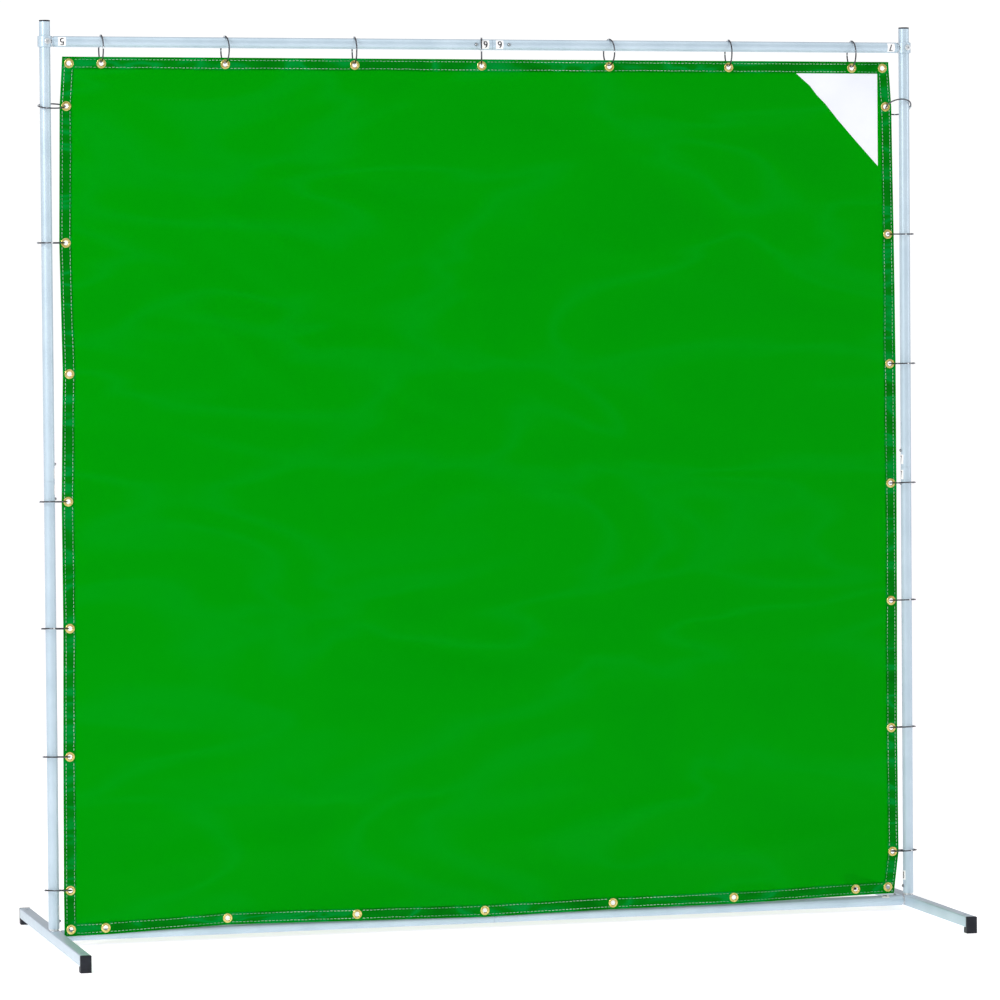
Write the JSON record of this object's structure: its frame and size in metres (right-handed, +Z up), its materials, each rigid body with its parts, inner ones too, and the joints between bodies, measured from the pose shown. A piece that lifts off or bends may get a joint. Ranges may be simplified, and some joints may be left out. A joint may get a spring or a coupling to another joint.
{
  "type": "welding curtain screen",
  "caption": "Free-standing screen of round steel tube on two square-tube feet, with a green hemmed vinyl curtain hung on wire rings along its top bar and uprights.",
  "frame": {"origin": "on the floor under the middle of the screen", "axes": "+X across the screen to its right, -Y the front that faces the viewer, +Z up"},
  "size_m": [1.8692, 0.762, 1.8701],
  "materials": {
    "tube_coat": "smooth light blue-grey zinc coat, satin",
    "zinc": "bright zinc plated steel",
    "black_plastic": "black moulded plastic, fine grain",
    "ring_steel": "nickel plated steel wire",
    "curtain_vinyl": "glossy green see-through vinyl sheet",
    "patch_vinyl": "plain white film, satin",
    "grommet_brass": "rolled brass",
    "thread": "pale sewing thread"
  },
  "bodies": {
    "frame": {"left_foot": "tube_coat", "right_foot": "tube_coat", "left_front_foot_cap": "black_plastic", "left_back_foot_cap": "black_plastic", "right_front_foot_cap": "black_plastic", "right_back_foot_cap": "black_plastic", "left_lower_upright": "tube_coat", "right_lower_upright": "tube_coat", "left_upper_upright": "tube_coat", "right_upper_upright": "tube_coat", "left_upright_coupler": "zinc", "right_upright_coupler": "zinc", "left_upright_cap": "black_plastic", "right_upright_cap": "black_plastic", "bottom_bar_left": "tube_coat", "bottom_bar_right": "tube_coat", "bottom_bar_coupler": "zinc"},
    "top_rail": {"left_collar": "tube_coat", "right_collar": "tube_coat", "top_bar_left": "tube_coat", "top_bar_right": "tube_coat", "top_bar_coupler": "zinc", "curtain": "curtain_vinyl", "corner_patch": "patch_vinyl"},
    "left_clamp_screw": {"left_clamp_screw": "zinc"},
    "right_clamp_screw": {"right_clamp_screw": "zinc"},
    "left_upright_foot_button": {"left_upright_foot_button": "zinc"},
    "left_upright_lower_button": {"left_upright_lower_button": "zinc"},
    "left_upright_upper_button": {"left_upright_upper_button": "zinc"},
    "right_upright_foot_button": {"right_upright_foot_button": "zinc"},
    "right_upright_lower_button": {"right_upright_lower_button": "zinc"},
    "right_upright_upper_button": {"right_upright_upper_button": "zinc"},
    "bottom_bar_left_end_button": {"bottom_bar_left_end_button": "zinc"},
    "bottom_bar_left_button": {"bottom_bar_left_button": "zinc"},
    "bottom_bar_right_button": {"bottom_bar_right_button": "zinc"},
    "bottom_bar_right_end_button": {"bottom_bar_right_end_button": "zinc"},
    "top_bar_left_button": {"top_bar_left_button": "zinc"},
    "top_bar_right_button": {"top_bar_right_button": "zinc"},
    "top_ring_1": {"top_ring_1": "ring_steel"},
    "top_ring_2": {"top_ring_2": "ring_steel"},
    "top_ring_3": {"top_ring_3": "ring_steel"},
    "top_ring_4": {"top_ring_4": "ring_steel"},
    "top_ring_5": {"top_ring_5": "ring_steel"},
    "top_ring_6": {"top_ring_6": "ring_steel"},
    "top_ring_7": {"top_ring_7": "ring_steel"},
    "left_ring_1": {"left_ring_1": "ring_steel"},
    "left_ring_2": {"left_ring_2": "ring_steel"},
    "left_ring_4": {"left_ring_4": "ring_steel"},
    "left_ring_5": {"left_ring_5": "ring_steel"},
    "left_ring_6": {"left_ring_6": "ring_steel"},
    "left_ring_7": {"left_ring_7": "ring_steel"},
    "right_ring_1": {"right_ring_1": "ring_steel"},
    "right_ring_2": {"right_ring_2": "ring_steel"},
    "right_ring_3": {"right_ring_3": "ring_steel"},
    "right_ring_4": {"right_ring_4": "ring_steel"},
    "right_ring_5": {"right_ring_5": "ring_steel"},
    "right_ring_6": {"right_ring_6": "ring_steel"},
    "right_ring_7": {"right_ring_7": "ring_steel"}
  },
  "joints": [
    {"name": "top_rail_height", "type": "slide", "parent": "frame", "child": "top_rail", "axis": [0, 0, 1], "range_m": [-0.02, 0.025]},
    {"name": "left_clamp_screw_turn", "type": "hinge", "parent": "top_rail", "child": "left_clamp_screw", "pos_m": [-0.9144, 0, 1.8271], "axis": [0.1564, -0.9877, 0], "range_deg": [0, 720]},
    {"name": "right_clamp_screw_turn", "type": "hinge", "parent": "top_rail", "child": "right_clamp_screw", "pos_m": [0.9144, 0, 1.8271], "axis": [0.1564, -0.9877, 0], "range_deg": [0, 720]},
    {"name": "left_upright_foot_button_press", "type": "slide", "parent": "frame", "child": "left_upright_foot_button", "axis": [-1, 0, 0], "range_m": [0, 0.0048], "stiffness_N_per_m": 800, "springref_m": -0.003},
    {"name": "left_upright_lower_button_press", "type": "slide", "parent": "frame", "child": "left_upright_lower_button", "axis": [-1, 0, 0], "range_m": [0, 0.0048], "stiffness_N_per_m": 800, "springref_m": -0.003},
    {"name": "left_upright_upper_button_press", "type": "slide", "parent": "frame", "child": "left_upright_upper_button", "axis": [-1, 0, 0], "range_m": [0, 0.0048], "stiffness_N_per_m": 800, "springref_m": -0.003},
    {"name": "right_upright_foot_button_press", "type": "slide", "parent": "frame", "child": "right_upright_foot_button", "axis": [1, 0, 0], "range_m": [0, 0.0048], "stiffness_N_per_m": 800, "springref_m": -0.003},
    {"name": "right_upright_lower_button_press", "type": "slide", "parent": "frame", "child": "right_upright_lower_button", "axis": [1, 0, 0], "range_m": [0, 0.0048], "stiffness_N_per_m": 800, "springref_m": -0.003},
    {"name": "right_upright_upper_button_press", "type": "slide", "parent": "frame", "child": "right_upright_upper_button", "axis": [1, 0, 0], "range_m": [0, 0.0048], "stiffness_N_per_m": 800, "springref_m": -0.003},
    {"name": "bottom_bar_left_end_button_press", "type": "slide", "parent": "frame", "child": "bottom_bar_left_end_button", "axis": [0, 0, -1], "range_m": [0, 0.0048], "stiffness_N_per_m": 800, "springref_m": -0.003},
    {"name": "bottom_bar_left_button_press", "type": "slide", "parent": "frame", "child": "bottom_bar_left_button", "axis": [0, 0, -1], "range_m": [0, 0.0048], "stiffness_N_per_m": 800, "springref_m": -0.003},
    {"name": "bottom_bar_right_button_press", "type": "slide", "parent": "frame", "child": "bottom_bar_right_button", "axis": [0, 0, -1], "range_m": [0, 0.0048], "stiffness_N_per_m": 800, "springref_m": -0.003},
    {"name": "bottom_bar_right_end_button_press", "type": "slide", "parent": "frame", "child": "bottom_bar_right_end_button", "axis": [0, 0, -1], "range_m": [0, 0.0048], "stiffness_N_per_m": 800, "springref_m": -0.003},
    {"name": "top_bar_left_button_press", "type": "slide", "parent": "top_rail", "child": "top_bar_left_button", "axis": [0, 1, 0], "range_m": [0, 0.0048], "stiffness_N_per_m": 800, "springref_m": -0.003},
    {"name": "top_bar_right_button_press", "type": "slide", "parent": "top_rail", "child": "top_bar_right_button", "axis": [0, 1, 0], "range_m": [0, 0.0048], "stiffness_N_per_m": 800, "springref_m": -0.003},
    {"name": "top_ring_1_turn", "type": "hinge", "parent": "top_rail", "child": "top_ring_1", "pos_m": [-0.79995, 0, 1.8131], "axis": [0, 0, 1], "range_deg": [-25, 25]},
    {"name": "top_ring_2_turn", "type": "hinge", "parent": "top_rail", "child": "top_ring_2", "pos_m": [-0.5453, 0, 1.8131], "axis": [0, 0, 1], "range_deg": [-25, 25]},
    {"name": "top_ring_3_turn", "type": "hinge", "parent": "top_rail", "child": "top_ring_3", "pos_m": [-0.27565, 0, 1.8131], "axis": [0, 0, 1], "range_deg": [-25, 25]},
    {"name": "top_ring_4_turn", "type": "hinge", "parent": "top_rail", "child": "top_ring_4", "pos_m": [-0.007, 0, 1.8131], "axis": [0, 0, 1], "range_deg": [-25, 25]},
    {"name": "top_ring_5_turn", "type": "hinge", "parent": "top_rail", "child": "top_ring_5", "pos_m": [0.26665, 0, 1.8131], "axis": [0, 0, 1], "range_deg": [-25, 25]},
    {"name": "top_ring_6_turn", "type": "hinge", "parent": "top_rail", "child": "top_ring_6", "pos_m": [0.5263, 0, 1.8131], "axis": [0, 0, 1], "range_deg": [-25, 25]},
    {"name": "top_ring_7_turn", "type": "hinge", "parent": "top_rail", "child": "top_ring_7", "pos_m": [0.79795, 0, 1.8131], "axis": [0, 0, 1], "range_deg": [-25, 25]},
    {"name": "left_ring_1_turn", "type": "hinge", "parent": "top_rail", "child": "left_ring_1", "pos_m": [-0.90156, -0.00021, 1.69776], "axis": [0.9999, -0.0163, 0], "range_deg": [-25, 25]},
    {"name": "left_ring_2_turn", "type": "hinge", "parent": "top_rail", "child": "left_ring_2", "pos_m": [-0.90549, -0.00068, 1.42257], "axis": [0.9971, -0.0761, 0], "range_deg": [-25, 25]},
    {"name": "left_ring_4_turn", "type": "hinge", "parent": "top_rail", "child": "left_ring_4", "pos_m": [-0.90632, -0.00156, 0.9012], "axis": [0.9818, -0.1898, 0], "range_deg": [-25, 25]},
    {"name": "left_ring_5_turn", "type": "hinge", "parent": "top_rail", "child": "left_ring_5", "pos_m": [-0.90575, -0.00214, 0.64502], "axis": [0.9707, -0.2402, 0], "range_deg": [-25, 25]},
    {"name": "left_ring_6_turn", "type": "hinge", "parent": "top_rail", "child": "left_ring_6", "pos_m": [-0.90563, -0.00268, 0.38583], "axis": [0.9562, -0.2928, 0], "range_deg": [-25, 25]},
    {"name": "left_ring_7_turn", "type": "hinge", "parent": "top_rail", "child": "left_ring_7", "pos_m": [-0.90518, -0.00337, 0.11564], "axis": [0.9393, -0.3432, 0], "range_deg": [-25, 25]},
    {"name": "right_ring_1_turn", "type": "hinge", "parent": "top_rail", "child": "right_ring_1", "pos_m": [0.90156, -0.0002, 1.70275], "axis": [0.9999, 0.0154, 0], "range_deg": [-15, 60]},
    {"name": "right_ring_2_turn", "type": "hinge", "parent": "top_rail", "child": "right_ring_2", "pos_m": [0.90453, -0.00071, 1.4344], "axis": [0.9974, 0.0717, 0], "range_deg": [-25, 25]},
    {"name": "right_ring_3_turn", "type": "hinge", "parent": "top_rail", "child": "right_ring_3", "pos_m": [0.90643, -0.00108, 1.16105], "axis": [0.9909, 0.1346, 0], "range_deg": [-25, 25]},
    {"name": "right_ring_4_turn", "type": "hinge", "parent": "top_rail", "child": "right_ring_4", "pos_m": [0.90606, -0.00159, 0.9087], "axis": [0.9824, 0.1868, 0], "range_deg": [-25, 25]},
    {"name": "right_ring_5_turn", "type": "hinge", "parent": "top_rail", "child": "right_ring_5", "pos_m": [0.90484, -0.00227, 0.66035], "axis": [0.9729, 0.2311, 0], "range_deg": [-25, 25]},
    {"name": "right_ring_6_turn", "type": "hinge", "parent": "top_rail", "child": "right_ring_6", "pos_m": [0.90264, -0.00328, 0.391], "axis": [0.9631, 0.2691, 0], "range_deg": [-25, 25]},
    {"name": "right_ring_7_turn", "type": "hinge", "parent": "top_rail", "child": "right_ring_7", "pos_m": [0.90316, -0.00383, 0.12865], "axis": [0.9466, 0.3225, 0], "range_deg": [-25, 25]}
  ]
}
